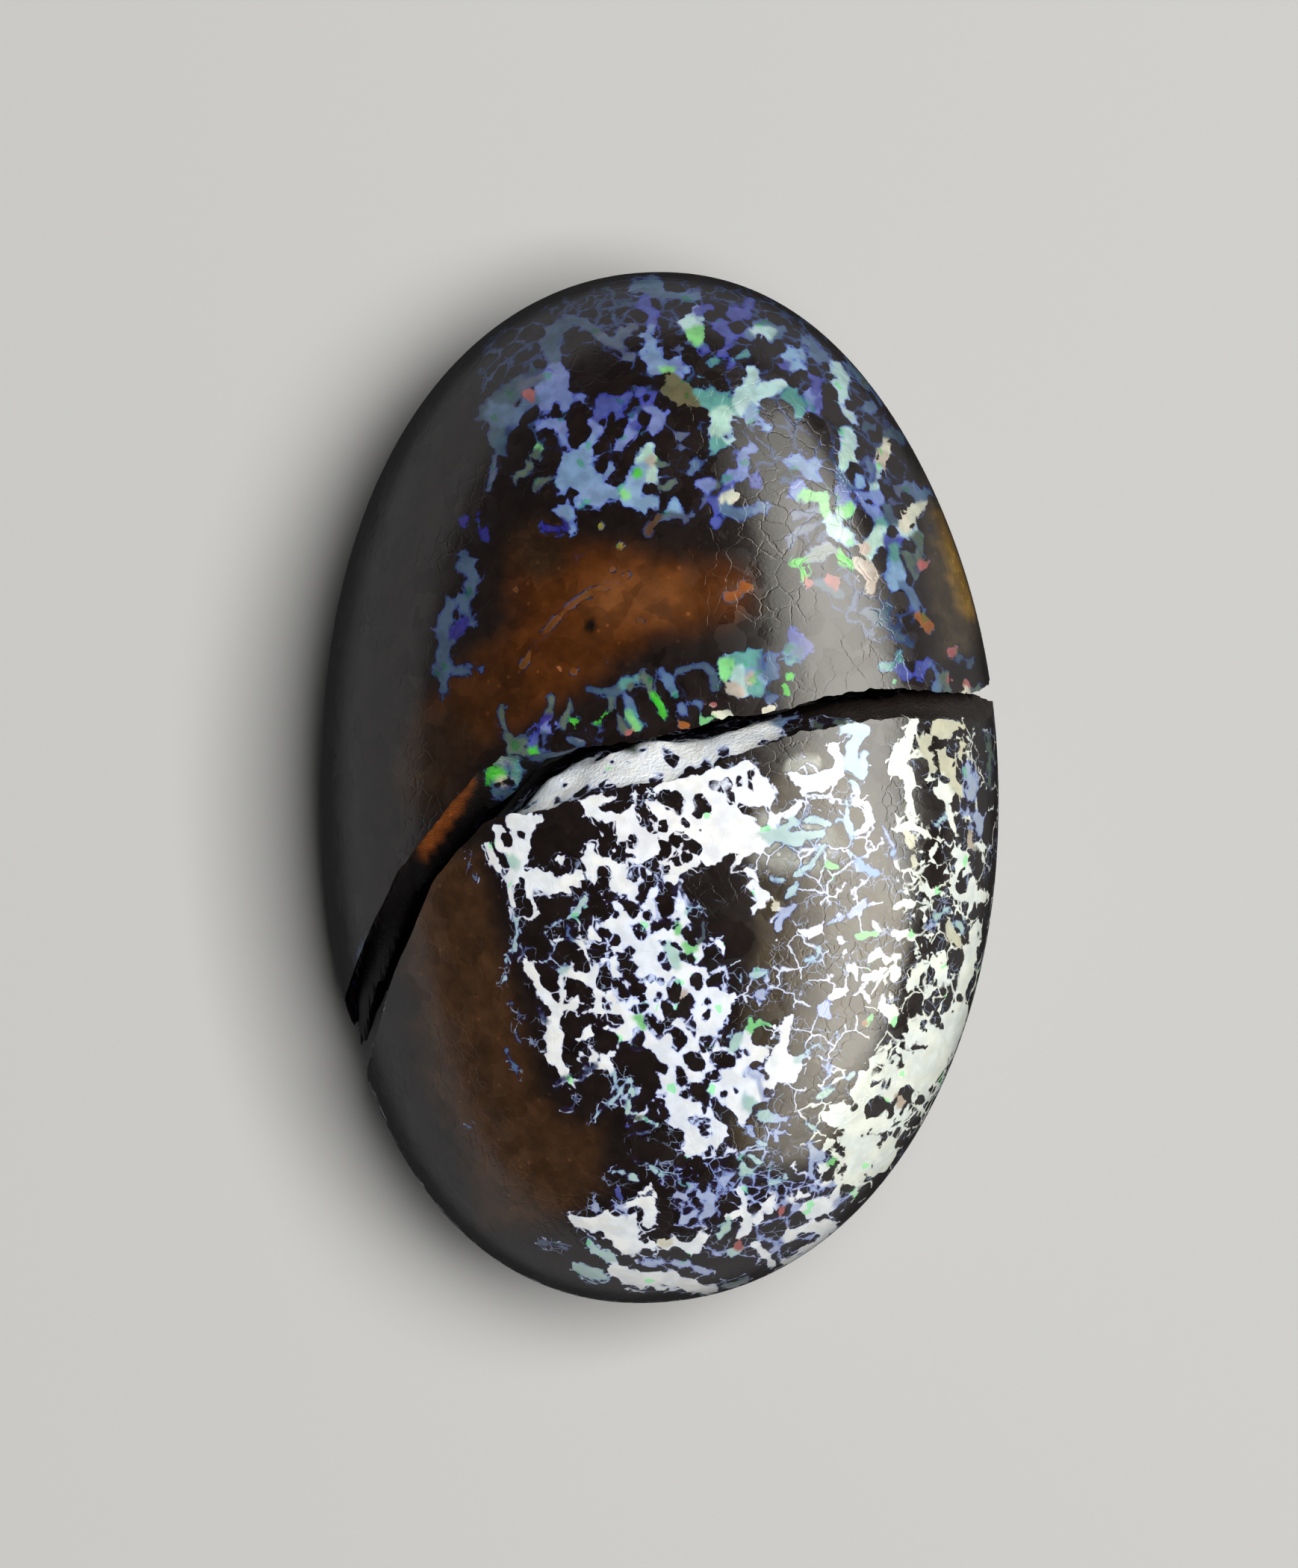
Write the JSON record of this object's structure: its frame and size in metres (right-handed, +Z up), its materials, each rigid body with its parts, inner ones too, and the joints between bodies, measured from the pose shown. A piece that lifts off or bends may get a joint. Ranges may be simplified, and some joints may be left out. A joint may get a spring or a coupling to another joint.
{
  "type": "broken boulder opal nodule",
  "caption": "Polished egg-shaped nodule of ironstone and opal, broken right through, its halves side by side on flattened undersides with rough faces towards a narrow gap.",
  "frame": {"origin": "centre of the stone's footprint box, on the surface that both halves rest on", "axes": "+Y along the stone from the pale half to the dark half, +X across it towards its higher flank, +Z up from the surface that it rests on"},
  "size_m": [0.0268, 0.0408, 0.02],
  "materials": {
    "dark_ironstone_opal": "polished dark brown ironstone with a blue and violet opal network",
    "pale_opal_ironstone": "polished near-white opal network round dark brown ironstone grains"
  },
  "bodies": {
    "root": {"upper_half": "dark_ironstone_opal", "lower_half": "pale_opal_ironstone"}
  },
  "joints": []
}
